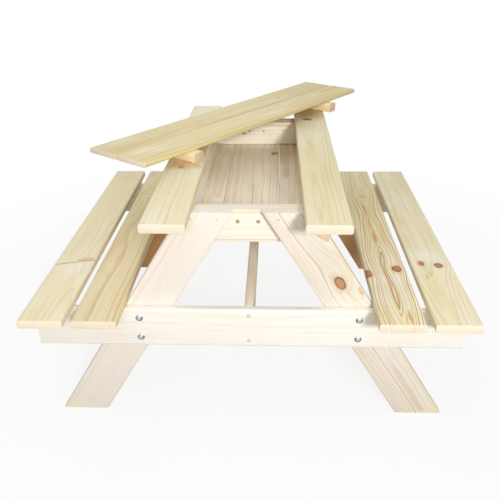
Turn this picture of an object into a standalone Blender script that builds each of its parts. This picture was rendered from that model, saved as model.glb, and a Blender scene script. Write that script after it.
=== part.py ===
"""Wooden picnic table for children, with a storage box and a loose lid.

Metres, +Z up. +X is to the right and +Y leads away from the near end.
The origin lies on the floor under the middle of the bounding box.
"""
import math

import bmesh
import bpy
from mathutils import Matrix, Vector

# Boards
board_thick = 0.018
seat_board_width = 0.089
top_board_width = 0.084
leg_board_width = 0.085
plank_length = 0.850
edge_round = 0.0045
leg_edge_round = 0.003
edge_steps = 3
edge_profile_share = 0.5

# Overall sizes
seat_height = 0.295
table_height = 0.500
seat_spread = 0.890
seat_gap = 0.016

# End frames: a crossbar bolted over two splayed legs, whose outer edges
# run from just outside the storage box down past the inner seat planks
plank_overhang = 0.065
frame_offset = 0.010
crossbar_inset = 0.0065
leg_box_gap = 0.0016
leg_seat_gap = 0.004

# Carriage bolts, in pairs where a leg passes behind the crossbar
bolt_inset = 0.006
bolt_spacing = 0.046
bolt_radius = 0.003
bolt_neck_half = 0.0032
bolt_neck_length = 0.0035
bolt_head_radius = 0.0075
bolt_head_height = 0.0034
bolt_end = 0.003
washer_radius = 0.009
washer_thick = 0.0016
nut_flat = 0.010
nut_height = 0.005

# Storage box between the end frames
box_width = 0.252
box_depth = 0.0667
box_side_thick = 0.014
rail_depth = 0.028
rail_thick = 0.009
slat_count = 4
slat_gap = 0.0008
slat_thick = 0.006
slat_inset = 0.008

# Tabletop planks, which rest with their inner edges on the box sides
top_plank_rest = 0.020

# Lid: two thinner boards on two battens, lying askew over the tabletop planks.
# Closed, its boards lie on the rails between these planks and its battens fit between the rails.
lid_thick = 0.012
lid_side_gap = 0.017
lid_board_gap = 0.002
lid_x = -0.034
lid_y = 0.192
lid_turn = math.radians(-36.5)
batten_rail_gap = 0.0024
batten_width = 0.030
batten_height = 0.024
batten_overhang = 0.015

# Countersunk wood screws
screw_head_radius = 0.004
screw_head_height = 0.0028
screw_shank_radius = 0.0019
screw_tip = 0.003
screw_sink = 0.0008
stretcher_screw_spacing = 0.060
stretcher_screw_length = 0.050
box_screw_spacing = 0.040
box_screw_height_share = 0.714
box_screw_length = 0.016

# Clearances and resolution
fit_gap = 0.0003
hole_gap = 0.0004
overrun = 0.002
bolt_sides = 16
screw_sides = 10
nut_sides = 6
dome_steps = 4
smooth_angle = math.radians(35)

# Places that follow from the sizes above
seat_board_z = seat_height - board_thick / 2
crossbar_z = seat_height - board_thick - fit_gap - seat_board_width / 2
top_board_z = table_height - board_thick / 2
frame_top = table_height - board_thick - fit_gap
frame_reach = plank_length / 2 - plank_overhang
crossbar_reach = frame_reach - board_thick / 2
leg_reach = crossbar_reach - board_thick - fit_gap
box_end_reach = leg_reach - board_thick - fit_gap
box_end_outer = box_end_reach + board_thick / 2
box_end_inner = box_end_reach - board_thick / 2
box_end_top = frame_top - rail_thick - fit_gap
box_floor_height = frame_top - box_depth
box_end_height = box_end_top - box_floor_height
bolt_grip = 2 * board_thick + fit_gap
top_inner_half = box_width / 2 - top_plank_rest
batten_bottom = table_height + fit_gap
batten_reach = box_end_outer - rail_depth - batten_rail_gap
lid_board_bottom = batten_bottom + batten_height + fit_gap
lid_spread = 2 * (top_inner_half - lid_side_gap)
lid_board_width = (lid_spread - lid_board_gap) / 2

# The legs' outer edge passes two places, which gives how far it runs out for each rise
leg_top_outer_half = box_width / 2 + leg_box_gap
seat_inner_half = seat_spread / 2 - 2 * seat_board_width - seat_gap
leg_splay = (seat_inner_half - leg_seat_gap - leg_top_outer_half) / (frame_top - seat_board_z)
leg_cut_width = leg_board_width * math.hypot(1, leg_splay)
leg_middle_at_bolts = (leg_top_outer_half - leg_cut_width / 2
                       + leg_splay * (frame_top - crossbar_z))
bolt_half = leg_middle_at_bolts - bolt_inset

# The lid's far corner reaches past the planks, so the table stands off-centre in its frame
lid_far_reach = (lid_y + plank_length / 2 * math.cos(lid_turn)
                 - lid_spread / 2 * math.sin(lid_turn))
table_y = (plank_length / 2 - lid_far_reach) / 2

ends = {"near": -1, "far": 1}
halves = {"left": -1, "right": 1}
levels = {"lower": -1, "upper": 1}


def clear_scene():
    for item in list(bpy.data.objects):
        bpy.data.objects.remove(item, do_unlink=True)


def make_material(name, colour, roughness, metallic=0.0):
    material = bpy.data.materials.new(name)
    material.use_nodes = True
    shader = material.node_tree.nodes["Principled BSDF"]
    shader.inputs["Base Color"].default_value = (*colour, 1.0)
    shader.inputs["Roughness"].default_value = roughness
    shader.inputs["Metallic"].default_value = metallic
    material.diffuse_color = (*colour, 1.0)
    return material


def make_empty(name, location, turn=0.0):
    empty = bpy.data.objects.new(name, None)
    empty.location = location
    empty.rotation_euler = (0.0, 0.0, turn)
    bpy.context.collection.objects.link(empty)
    return empty


def mesh_from(bm, name, material):
    bmesh.ops.recalc_face_normals(bm, faces=bm.faces)
    mesh = bpy.data.meshes.new(name)
    bm.to_mesh(mesh)
    bm.free()
    mesh.materials.append(material)
    return mesh


def place_mesh(name, mesh, parent, location=(0.0, 0.0, 0.0)):
    item = bpy.data.objects.new(name, mesh)
    item.parent = parent
    item.location = location
    bpy.context.collection.objects.link(item)
    return item


def place_facing(name, mesh, parent, spot):
    """Put a turned piece at a point, with its local +Z along a direction."""
    point, direction = spot
    item = place_mesh(name, mesh, parent, point)
    item.rotation_euler = Vector(direction).to_track_quat("Z", "Y").to_euler()
    return item


def board(name, size, location, material, parent, rounding=edge_round):
    """A board whose long edges are rounded; its long side is its greatest size."""
    bm = bmesh.new()
    bmesh.ops.create_cube(bm, size=1.0)
    bmesh.ops.scale(bm, vec=size, verts=bm.verts)
    if rounding:
        along = max(range(3), key=lambda axis: size[axis])
        long_edges = [edge for edge in bm.edges
                      if abs(edge.verts[0].co[along] - edge.verts[1].co[along]) > size[along] / 2]
        bmesh.ops.bevel(bm, geom=long_edges, offset=min(rounding, min(size) / 3),
                        segments=edge_steps, profile=edge_profile_share, affect="EDGES")
    return place_mesh(name, mesh_from(bm, name, material), parent, location)


def leg(name, half, location, material, parent):
    """A splayed board cut level at the floor and under the tabletop, its raking edges rounded."""
    foot_outer_half = leg_top_outer_half + leg_splay * frame_top
    outline = [(foot_outer_half - leg_cut_width, 0.0), (foot_outer_half, 0.0),
               (leg_top_outer_half, frame_top),
               (leg_top_outer_half - leg_cut_width, frame_top)]
    bm = bmesh.new()
    face = bm.faces.new([bm.verts.new((half * x, -board_thick / 2, z)) for x, z in outline])
    grown = bmesh.ops.extrude_face_region(bm, geom=[face])["geom"]
    bmesh.ops.translate(bm, vec=(0.0, board_thick, 0.0),
                        verts=[item for item in grown if isinstance(item, bmesh.types.BMVert)])
    raking = [edge for edge in bm.edges
              if abs(edge.verts[0].co.z - edge.verts[1].co.z) > frame_top / 2]
    bmesh.ops.bevel(bm, geom=raking, offset=min(leg_edge_round, board_thick / 3),
                    segments=edge_steps, profile=edge_profile_share, affect="EDGES")
    return place_mesh(name, mesh_from(bm, name, material), parent, location)


def turn_profile(bm, profile, sides, place=Matrix.Identity(4)):
    """Turn (radius, height) points, listed from the foot up, about local Z.

    A third value makes that ring square, with the first as half its width."""
    rings = []
    for radius, height, *square in profile:
        count = sides if radius else 1
        ring = []
        for k in range(count):
            angle = 2 * math.pi * k / count
            reach = radius
            if square:
                reach = radius / max(abs(math.cos(angle)), abs(math.sin(angle)))
            ring.append(bm.verts.new(place @ Vector((reach * math.cos(angle),
                                                     reach * math.sin(angle), height))))
        rings.append(ring)
    for low, high in zip(rings, rings[1:]):
        for k in range(sides):
            after = (k + 1) % sides
            if len(low) == 1:
                bm.faces.new((low[0], high[after], high[k]))
            elif len(high) == 1:
                bm.faces.new((low[k], low[after], high[0]))
            else:
                bm.faces.new((low[k], low[after], high[after], high[k]))
    for ring in (rings[0], rings[-1]):
        if len(ring) > 1:
            bm.faces.new(ring)


def turned_mesh(name, profile, sides, material):
    bm = bmesh.new()
    turn_profile(bm, profile, sides)
    mesh = mesh_from(bm, name, material)
    mesh.shade_smooth()
    mesh.set_sharp_from_angle(angle=smooth_angle)
    return mesh


def ring_mesh(name, outer, inner, height, outer_sides, material):
    """A round washer or a hexagonal nut: an outline with a round hole, drawn upwards."""
    per_side = bolt_sides // outer_sides + 1
    count = outer_sides * per_side
    step = 2 * math.pi / count
    half_side = math.pi / outer_sides
    outside = []
    inside = []
    bm = bmesh.new()
    for k in range(count):
        angle = k * step
        reach = outer * math.cos(half_side) / math.cos(angle % (2 * half_side) - half_side)
        outside.append(bm.verts.new((reach * math.cos(angle), reach * math.sin(angle), 0.0)))
        inside.append(bm.verts.new((inner * math.cos(angle), inner * math.sin(angle), 0.0)))
    rim = []
    for k in range(count):
        after = (k + 1) % count
        rim.append(bm.faces.new((outside[k], outside[after], inside[after], inside[k])))
    grown = bmesh.ops.extrude_face_region(bm, geom=rim)["geom"]
    bmesh.ops.translate(bm, vec=(0.0, 0.0, height),
                        verts=[item for item in grown if isinstance(item, bmesh.types.BMVert)])
    return mesh_from(bm, name, material)


def bolt_profile():
    """Shank, then the square neck under the domed head, then over the dome."""
    reach = bolt_grip + washer_thick + nut_height + 2 * fit_gap + bolt_end
    points = [(bolt_radius, -reach), (bolt_radius, -bolt_neck_length),
              (bolt_neck_half, -bolt_neck_length, True), (bolt_neck_half, fit_gap, True),
              (bolt_head_radius, fit_gap)]
    for step in range(1, dome_steps):
        angle = math.pi / 2 * step / dome_steps
        points.append((bolt_head_radius * math.cos(angle),
                       fit_gap + bolt_head_height * math.sin(angle)))
    points.append((0.0, fit_gap + bolt_head_height))
    return points


def bolt_hole_profile():
    """A round hole through both boards, with a square mouth for the neck."""
    round_hole = bolt_radius + hole_gap
    square_hole = bolt_neck_half + hole_gap
    depth = bolt_neck_length + hole_gap
    return [(round_hole, -bolt_grip - overrun), (round_hole, -depth),
            (square_hole, -depth, True), (square_hole, overrun, True)]


def screw_profile(length):
    """A countersunk screw sunk a little below the surface at height zero."""
    return [(0.0, -length), (screw_shank_radius, screw_tip - length),
            (screw_shank_radius, -screw_sink - screw_head_height),
            (screw_head_radius, -screw_sink), (0.0, -screw_sink)]


def screw_hole_profile(length):
    shank = screw_shank_radius + hole_gap
    head = screw_head_radius + hole_gap
    return [(0.0, -length - hole_gap), (shank, screw_tip - length),
            (shank, -screw_sink - screw_head_height - hole_gap),
            (head, -screw_sink - hole_gap), (head, overrun), (0.0, overrun)]


def drill(boards, name, profile, sides, spots, parent):
    """Take turned holes out of each board with one hidden cutter."""
    bm = bmesh.new()
    for point, direction in spots:
        turn = Vector(direction).to_track_quat("Z", "Y").to_matrix().to_4x4()
        turn_profile(bm, profile, sides, Matrix.Translation(point) @ turn)
    cutter = place_mesh(name, mesh_from(bm, name, boards[0].data.materials[0]), parent)
    cutter.hide_render = True
    cutter.display_type = "WIRE"
    for item in boards:
        hole = item.modifiers.new(name, "BOOLEAN")
        hole.operation = "DIFFERENCE"
        hole.solver = "EXACT"
        hole.object = cutter


def end_y(end, reach):
    """Place along the table of what stands a given way out from the middle of the frames."""
    return frame_offset + end * reach


def make_planks(wood, table):
    outer_x = seat_spread / 2 - seat_board_width / 2
    inner_x = seat_inner_half + seat_board_width / 2
    top_x = top_inner_half + top_board_width / 2
    seat_size = (seat_board_width, plank_length, board_thick)
    top_size = (top_board_width, plank_length, board_thick)
    for word, half in halves.items():
        board(f"seat_plank_{word}_outer", seat_size, (half * outer_x, 0.0, seat_board_z), wood, table)
        board(f"seat_plank_{word}_inner", seat_size, (half * inner_x, 0.0, seat_board_z), wood, table)
        board(f"tabletop_plank_{word}", top_size, (half * top_x, 0.0, top_board_z), wood, table)


def make_frames(wood, table):
    """Crossbars and legs of both ends, drilled for the bolts, with the stretcher between them."""
    crossbar_length = seat_spread - 2 * crossbar_inset
    crossbars = {}
    for end_word, end in ends.items():
        crossbars[end_word] = board(f"crossbar_{end_word}",
                                    (crossbar_length, board_thick, seat_board_width),
                                    (0.0, end_y(end, crossbar_reach), crossbar_z), wood, table)
        legs = [leg(f"leg_{end_word}_{word}", half, (0.0, end_y(end, leg_reach), 0.0), wood, table)
                for word, half in halves.items()]
        drill([crossbars[end_word]] + legs, f"bolt_holes_{end_word}", bolt_hole_profile(),
              bolt_sides, list(bolt_spots(end).values()), table)
    length = 2 * (crossbar_reach - board_thick / 2 - fit_gap)
    stretcher = board("stretcher", (board_thick, length, seat_board_width),
                      (0.0, frame_offset, crossbar_z), wood, table)
    for end_word, end in ends.items():
        drill([crossbars[end_word], stretcher], f"stretcher_screw_holes_{end_word}",
              screw_hole_profile(stretcher_screw_length), screw_sides,
              list(stretcher_screw_spots(end).values()), table)


def bolt_spots(end):
    """Where each bolt head meets the crossbar, and which way it faces."""
    return {f"{half_word}_{level_word}":
            ((half * bolt_half, end_y(end, frame_reach),
              crossbar_z + level * bolt_spacing / 2), (0.0, end, 0.0))
            for half_word, half in halves.items() for level_word, level in levels.items()}


def stretcher_screw_spots(end):
    return {level_word:
            ((0.0, end_y(end, frame_reach),
              crossbar_z + level * stretcher_screw_spacing / 2), (0.0, end, 0.0))
            for level_word, level in levels.items()}


def box_screw_spots(end):
    height = box_floor_height + box_screw_height_share * box_end_height
    return {half_word:
            ((half * box_screw_spacing / 2, end_y(end, box_end_outer), height),
             (0.0, end, 0.0))
            for half_word, half in halves.items()}


def make_box(wood, table):
    """The storage box: ends behind the legs, sides, rails for the lid and a slatted floor."""
    side_x = box_width / 2 - box_side_thick / 2
    side_length = 2 * (box_end_inner - fit_gap)
    rail_length = box_width - 2 * (box_side_thick + fit_gap)
    for end_word, end in ends.items():
        box_end = board(f"box_end_{end_word}", (box_width, board_thick, box_end_height),
                        (0.0, end_y(end, box_end_reach), box_floor_height + box_end_height / 2),
                        wood, table)
        drill([box_end], f"box_screw_holes_{end_word}", screw_hole_profile(box_screw_length),
              screw_sides, list(box_screw_spots(end).values()), table)
        board(f"box_rail_{end_word}", (rail_length, rail_depth, rail_thick),
              (0.0, end_y(end, box_end_outer - rail_depth / 2), frame_top - rail_thick / 2),
              wood, table, rounding=0.0)
    for word, half in halves.items():
        board(f"box_side_{word}", (box_side_thick, side_length, box_depth),
              (half * side_x, frame_offset, frame_top - box_depth / 2), wood, table)
    slat_width = (box_width - (slat_count - 1) * slat_gap) / slat_count
    slat_length = 2 * (box_end_outer - slat_inset)
    for number in range(slat_count):
        x = (number - (slat_count - 1) / 2) * (slat_width + slat_gap)
        board(f"box_floor_slat_{number + 1}", (slat_width, slat_length, slat_thick),
              (x, frame_offset, box_floor_height - fit_gap - slat_thick / 2),
              wood, table, rounding=0.0)


def make_fasteners(steel, table):
    """Bolts with their washers and nuts, and the countersunk screws."""
    nut_corner = nut_flat / 2 / math.cos(math.pi / nut_sides)
    bore = bolt_radius + hole_gap
    bolt = turned_mesh("carriage_bolt", bolt_profile(), bolt_sides, steel)
    washer = ring_mesh("bolt_washer", washer_radius, bore, washer_thick, bolt_sides, steel)
    nut = ring_mesh("bolt_nut", nut_corner, bore, nut_height, nut_sides, steel)
    long_screw = turned_mesh("stretcher_screw", screw_profile(stretcher_screw_length),
                             screw_sides, steel)
    short_screw = turned_mesh("box_end_screw", screw_profile(box_screw_length),
                              screw_sides, steel)
    washer_depth = bolt_grip + fit_gap + washer_thick
    nut_depth = washer_depth + fit_gap + nut_height
    for end_word, end in ends.items():
        for word, spot in bolt_spots(end).items():
            (x, y, z), facing = spot
            place_facing(f"carriage_bolt_{end_word}_{word}", bolt, table, spot)
            place_facing(f"bolt_washer_{end_word}_{word}", washer, table,
                         ((x, y - end * washer_depth, z), facing))
            place_facing(f"bolt_nut_{end_word}_{word}", nut, table,
                         ((x, y - end * nut_depth, z), facing))
        for word, spot in stretcher_screw_spots(end).items():
            place_facing(f"stretcher_screw_{end_word}_{word}", long_screw, table, spot)
        for word, spot in box_screw_spots(end).items():
            place_facing(f"box_end_screw_{end_word}_{word}", short_screw, table, spot)


def make_lid(wood, lid):
    """Two boards on two battens, in the lid's own frame with its length along Y."""
    board_x = (lid_board_width + lid_board_gap) / 2
    batten_y = batten_reach - batten_width / 2
    batten_length = lid_spread + 2 * batten_overhang
    for word, half in {"rear": -1, "front": 1}.items():
        board(f"lid_plank_{word}", (lid_board_width, plank_length, lid_thick),
              (half * board_x, 0.0, lid_board_bottom + lid_thick / 2), wood, lid)
    for word, end in ends.items():
        board(f"lid_batten_{word}", (batten_length, batten_width, batten_height),
              (0.0, end * batten_y, batten_bottom + batten_height / 2), wood, lid)


def main():
    clear_scene()
    wood = make_material("pine", (0.80, 0.66, 0.42), 0.62)
    frame_wood = make_material("pine_end_frames", (0.88, 0.76, 0.56), 0.62)
    box_wood = make_material("pine_box", (0.84, 0.70, 0.50), 0.66)
    lid_wood = make_material("pine_lid", (0.76, 0.64, 0.40), 0.62)
    steel = make_material("zinc_plated_steel", (0.62, 0.62, 0.60), 0.35, 1.0)
    table = make_empty("table_frame", (0.0, table_y, 0.0))
    lid = make_empty("lid_frame", (lid_x, table_y + lid_y, 0.0), lid_turn)
    make_planks(wood, table)
    make_frames(frame_wood, table)
    make_box(box_wood, table)
    make_fasteners(steel, table)
    make_lid(lid_wood, lid)


main()
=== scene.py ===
"""A kids picnic table in untreated pine, its storage box under a loose lid, on a pale floor."""

import math
from typing import NamedTuple

import bmesh
import bpy
import numpy as np
from mathutils import Matrix, Vector


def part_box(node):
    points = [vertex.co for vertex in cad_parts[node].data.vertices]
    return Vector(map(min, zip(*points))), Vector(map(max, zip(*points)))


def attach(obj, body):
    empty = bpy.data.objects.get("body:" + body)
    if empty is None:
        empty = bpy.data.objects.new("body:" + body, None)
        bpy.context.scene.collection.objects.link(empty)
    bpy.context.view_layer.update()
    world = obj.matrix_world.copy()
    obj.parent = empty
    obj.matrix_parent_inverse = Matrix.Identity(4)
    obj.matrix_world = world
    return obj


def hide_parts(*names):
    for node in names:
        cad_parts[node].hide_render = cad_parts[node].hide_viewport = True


bl_info = {
    "name": "Kids Picnic Table",
    "version": (1, 0, 0),
    "blender": (4, 5, 0),
    "location": "3D View > Sidebar > Picnic Table",
    "description": "Dresses the picnic table's solids in pine boards and zinc plated fasteners",
    "category": "Object",
}

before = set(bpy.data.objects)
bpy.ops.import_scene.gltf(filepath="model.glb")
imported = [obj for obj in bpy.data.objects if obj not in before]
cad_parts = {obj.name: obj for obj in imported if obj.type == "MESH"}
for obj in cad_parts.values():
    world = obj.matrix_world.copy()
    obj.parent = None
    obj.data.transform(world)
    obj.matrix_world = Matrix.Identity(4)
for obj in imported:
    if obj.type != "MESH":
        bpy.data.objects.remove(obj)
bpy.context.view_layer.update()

# Lengthwise, across and upright
X_WAY = Vector((1.0, 0.0, 0.0))
Y_WAY = Vector((0.0, 1.0, 0.0))
Z_WAY = Vector((0.0, 0.0, 1.0))
# Which way along Y each end's outer faces look
OUTWARD = {"near": -1.0, "far": 1.0}


def tint(red, green, blue):
    """A colour as a screen shows it, 0 to 255, as the linear values that Blender keeps."""
    shares = np.array((red, green, blue)) / 255
    linear = np.where(shares <= 0.04045, shares / 12.92, ((shares + 0.055) / 1.055) ** 2.4)
    return tuple(float(share) for share in linear)


def a_colour(name, description, shown):
    return bpy.props.FloatVectorProperty(name=name, description=description, subtype="COLOR",
                                         size=3, min=0.0, max=1.0, default=tint(*shown))


def a_number(name, description, default, **kind):
    return bpy.props.FloatProperty(name=name, description=description, default=default, **kind)


def a_length(name, description, metres, digits=4):
    return a_number(name, description, metres, min=0.0, precision=digits, unit="LENGTH",
                    subtype="DISTANCE")


def an_angle(name, description, radians):
    return a_number(name, description, radians, unit="ROTATION", subtype="ANGLE")


def a_share(name, description, share):
    return a_number(name, description, share, min=0.0, max=1.0, subtype="FACTOR")


def a_power(name, description, watts):
    return a_number(name, description, watts, min=0.0, unit="POWER")


# What a user would change

class PineSettings(bpy.types.PropertyGroup):
    """The boards' wood and how their edges are worked"""

    plank: a_colour("Plank wood", "Early wood of the seats and the tabletop", (243, 233, 199))
    frame_wood: a_colour("Frame wood", "Early wood of the legs and crossbars", (252, 249, 244))
    box_wood: a_colour("Box wood", "Early wood of the box and the stretcher", (252, 246, 233))
    lid_wood: a_colour("Lid wood", "Early wood of the lid", (222, 206, 154))
    batten_wood: a_colour("Batten wood", "Early wood of the lid's battens", (249, 230, 184))
    late: a_colour("Late wood", "The darker line that closes each year", (196, 160, 92))
    late_pale: a_colour("Late wood of the frame", "That line on paler boards", (226, 190, 138))
    # Also the colour of the olive zone that paints shade on the seats' far halves
    sap: a_colour("Sap streak", "Yellowish wood in broad streaks", (222, 207, 142))
    pale: a_colour("Pale wood", "The palest wood, in patches and round knots", (250, 245, 230))
    knot: a_colour("Knot", "The heart of a knot", (186, 128, 64))
    bark: a_colour("Knot rim", "The dark rim round a knot", (122, 62, 18))
    # Also the colour of painted shade: the far legs' darkened faces and the tabletop's broad flame
    # marks
    halo: a_colour("Resin", "Resinous wood, round a knot and in flames", (212, 156, 82))
    end_grain: a_colour("End grain", "The sawn ends of the boards", (253, 241, 222))
    edge_round: a_length("Edge rounding", "Radius of a board's long edges", 0.0045)
    leg_round: a_length("Leg edge rounding", "Radius of the legs' raking edges", 0.003)
    slat_round: a_length("Slat edge rounding", "Radius on slats and rails", 0.0014)
    end_ease: a_length("End easing", "Radius where a board's ends are sanded", 0.0006, 5)
    edge_steps: bpy.props.IntProperty(name="Edge steps", default=6, min=1, max=12,
                                      description="Faces across a rounded edge")
    roughness: a_share("Roughness", "Roughness of the planed wood", 0.56)
    relief: a_length("Relief", "Height of the grain that planing leaves", 0.00012, 6)
    lid_turn: an_angle("Lid turn", "Turn of the lid on the tabletop", math.radians(-36.5))


class HardwareSettings(bpy.types.PropertyGroup):
    """The carriage bolts, washers, nuts and screws"""

    zinc: a_colour("Zinc plating", "Colour of the bolts and nuts", (196, 200, 204))
    # Painted reflection: dark round the bolt heads' rims
    painted_rim_reflection: a_colour("Zinc rim", "Colour of the bolt heads round their rims", (72, 74, 76))
    # Painted shade: the box ends' and battens' screws take the colour of the shade in their holes
    screw_zinc: a_colour("Screw plating", "Colour of the small screws", (138, 116, 84))
    head_radius: a_length("Bolt head radius", "Radius of a bolt's domed head", 0.0075)
    head_height: a_length("Bolt head height", "Height of a bolt's domed head", 0.0034)
    bolt_radius: a_length("Bolt radius", "Radius over the thread", 0.003)
    thread_pitch: a_length("Thread pitch", "Distance from one thread to the next", 0.001)
    screw_radius: a_length("Screw head radius", "Radius of a countersunk head", 0.0038)
    screw_proud: a_length("Screw head height", "How far it stands out of the wood", 0.0002, 5)
    frame_screw_length: a_length("Frame screw", "Length in the stretcher and box", 0.024)
    leg_screw_length: a_length("Leg screw", "Length of the screws in the legs", 0.012)
    lid_screw_length: a_length("Lid screw", "Length of the screws in the lid", 0.020)


class StudioSettings(bpy.types.PropertyGroup):
    """The camera, the lamps and the floor"""

    camera_place: bpy.props.FloatVectorProperty(
        name="Camera place", description="Where the camera stands", size=3, unit="LENGTH",
        subtype="TRANSLATION", precision=6, default=(0.050094, -1.482557, 0.947635))
    pan: an_angle("Pan", "Turn of the view to the right", -0.043)
    tilt: an_angle("Tilt", "Turn of the view downwards", 0.470)
    roll: an_angle("Roll", "Turn of the camera about its view", -0.013)
    focal_length: a_number("Focal length", "Lens, in millimetres", 44.364, min=1.0, precision=3)
    floor: a_colour("Floor", "Colour of the floor as the camera sees it", (250, 250, 250))
    floor_bounce: a_colour("Floor bounce", "Light that the floor throws up", (182, 175, 160))
    floor_glow: a_share("Floor glow", "How white the camera sees the near floor", 0.85)
    key_power: a_power("Key lamp", "Power of the low lamp in front", 166.0)
    fill_power: a_power("Fill lamp", "Power of the weak lamp above the camera", 17.0)
    top_power: a_power("Top lamp", "Power of the broad lamp overhead", 25.0)
    back_power: a_power("Back lamp", "Power of the lamp behind", 25.0)
    room_light: a_share("Room light", "Strength of the even light from all round", 0.32)


# Node trees from Python sums

class Socket:
    """A node's output: the usual operators on it add the Math nodes that they need."""

    def __init__(self, nodes, output):
        self.nodes = nodes
        self.output = output

    def __add__(self, other):
        return self.nodes.math("ADD", self, other)

    def __mul__(self, other):
        return self.nodes.math("MULTIPLY", self, other)

    def __sub__(self, other):
        return self.nodes.math("SUBTRACT", self, other)

    def __rsub__(self, other):
        return self.nodes.math("SUBTRACT", other, self)

    def __truediv__(self, other):
        return self.nodes.math("DIVIDE", self, other)

    def __neg__(self):
        return self.nodes.math("MULTIPLY", self, -1.0)

    def __pow__(self, other):
        return self.nodes.math("POWER", self, other)

    __radd__ = __add__
    __rmul__ = __mul__


class Nodes:
    """A node tree that is written one call for each node."""

    def __init__(self, tree):
        self.tree = tree

    @staticmethod
    def pick(sockets, key):
        """A socket by its place, its identifier or its name."""
        if isinstance(key, int):
            return sockets[key]
        for socket in sockets:
            if socket.identifier == key:
                return socket
        return sockets[key]

    def add(self, kind, values=None, output=0, **settings):
        """A new node with its sockets' values and links and its settings; gives one output."""
        node = self.tree.nodes.new(kind)
        for key, value in settings.items():
            setattr(node, key, value)
        for key, value in (values or {}).items():
            socket = self.pick(node.inputs, key)
            if isinstance(value, Socket):
                self.tree.links.new(value.output, socket)
            elif socket.type == "RGBA":
                socket.default_value = (*tuple(value)[:3], 1.0)
            else:
                socket.default_value = value
        return Socket(self, self.pick(node.outputs, output)) if len(node.outputs) else None

    def also(self, socket, key):
        """Another output of the same node."""
        return Socket(self, self.pick(socket.output.node.outputs, key))

    def math(self, operation, *values):
        return self.add("ShaderNodeMath", dict(enumerate(values)), operation=operation)

    def larger(self, first, second):
        return self.math("MAXIMUM", first, second)

    def smooth(self, value, low, high, start=0.0, end=1.0):
        """Goes from start to end while value goes from low to high, with soft ends."""
        return self.add("ShaderNodeMapRange", {
            "Value": value, "From Min": low, "From Max": high, "To Min": start,
            "To Max": end}, interpolation_type="SMOOTHSTEP")

    def vector(self, x=0.0, y=0.0, z=0.0):
        return self.add("ShaderNodeCombineXYZ", {0: x, 1: y, 2: z})

    def parts(self, vector):
        """A vector's three numbers."""
        first = self.add("ShaderNodeSeparateXYZ", {0: vector})
        return [self.also(first, axis) for axis in range(3)]

    def mix(self, share, first, second, blend="MIX"):
        """One colour over another."""
        return self.add("ShaderNodeMix", {
            "Factor_Float": share, "A_Color": first, "B_Color": second
        }, "Result_Color", data_type="RGBA", blend_type=blend)

    def shaded(self, colour, shade):
        """A colour made lighter or darker."""
        return self.mix(1.0, colour, self.vector(shade, shade, shade), "MULTIPLY")

    def surface(self, colour, rough, height, relief, strength, metal=0.0):
        """Ends a material with a bumpy surface."""
        bump = self.add("ShaderNodeBump", {
            "Strength": strength, "Distance": relief, "Height": height})
        coat = self.add("ShaderNodeBsdfPrincipled", {
            "Base Color": colour, "Metallic": metal, "Roughness": rough, "Normal": bump})
        self.add("ShaderNodeOutputMaterial", {"Surface": coat})

    def noise(self, place, scales, shift, detail=2.0, rough=0.5):
        """Noise about zero, from about -0.5 to 0.5, on a place scaled each way and moved."""
        where = self.add("ShaderNodeVectorMath", {
            0: place, 1: scales, 2: shift}, operation="MULTIPLY_ADD")
        return self.add("ShaderNodeTexNoise", {
            "Vector": where, "Scale": 1.0, "Detail": detail,
            "Roughness": rough}, noise_dimensions="3D") - 0.5


def bare_nodes(owner, kind=Nodes):
    """The emptied node tree of a material or a world."""
    owner.use_nodes = True
    owner.node_tree.nodes.clear()
    return kind(owner.node_tree)


def add_object(name, data):
    """A new object in the scene."""
    item = bpy.data.objects.new(name, data)
    bpy.context.scene.collection.objects.link(item)
    return item


def keep_piece(name, mesh, crease, body, nodes):
    """The piece's object, smooth but for its creases, riding on its body for its solids."""
    mesh.polygons.foreach_set("use_smooth", [True] * len(mesh.polygons))
    mesh.set_sharp_from_angle(angle=crease)
    piece = add_object(name, mesh)
    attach(piece, body)
    if nodes:
        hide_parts(*nodes)
    return piece


def mesh_of(bm, name):
    """A finished edit as a new mesh."""
    mesh = bpy.data.meshes.new(name)
    bm.to_mesh(mesh)
    bm.free()
    return mesh


def corners_of(mesh):
    """A mesh's corners, one row each."""
    coordinates = np.empty(len(mesh.vertices) * 3)
    mesh.vertices.foreach_get("co", coordinates)
    return coordinates.reshape(-1, 3)


def write_attribute(mesh, name, rows):
    """Keeps three numbers for each corner."""
    layer = mesh.attributes.new(name, "FLOAT_VECTOR", "POINT")
    layer.data.foreach_set("vector", rows.astype(np.float32).ravel())


# Wood

# How many waves of each pattern fit in a metre along, across and above the board
FIBRE = (22.0, 1500.0, 1500.0)
PORE = (75.0, 900.0, 900.0)
STREAK = (4.0, 150.0, 150.0)
CLOUD = (4.5, 26.0, 26.0)
DRIFT = (7.0, 18.0, 18.0)
SWAY = (2.6, 0.0, 0.0)
LEAN = (1.9, 0.0, 0.0)
RIPPLE = (8.0, 30.0, 30.0)
FRAY = (22.0, 110.0, 60.0)
KNOT_OUTLINE = (70.0, 110.0, 30.0)
KNOT_SIDE = (26.0, 45.0, 10.0)
# How many waves of uneven years fit in a metre across the rings
YEARS_UNEVEN = 60.0
# Keeps the noise of one board apart from the next one's
SEED_STEP = 7.31
# The end grain's colour starts and is full this near to a board's end
END_START, END_FULL = 0.0011, 0.0003
END_SHARE = 0.7
# A board thinner than this has a slat's edges
THIN_BOARD = 0.01
BOARD_CREASE = math.radians(40)
# A face that looks this much along a board is an end, and a corner this near to a level is on it
END_FACING, LEVEL = 0.9, 0.0001


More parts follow.
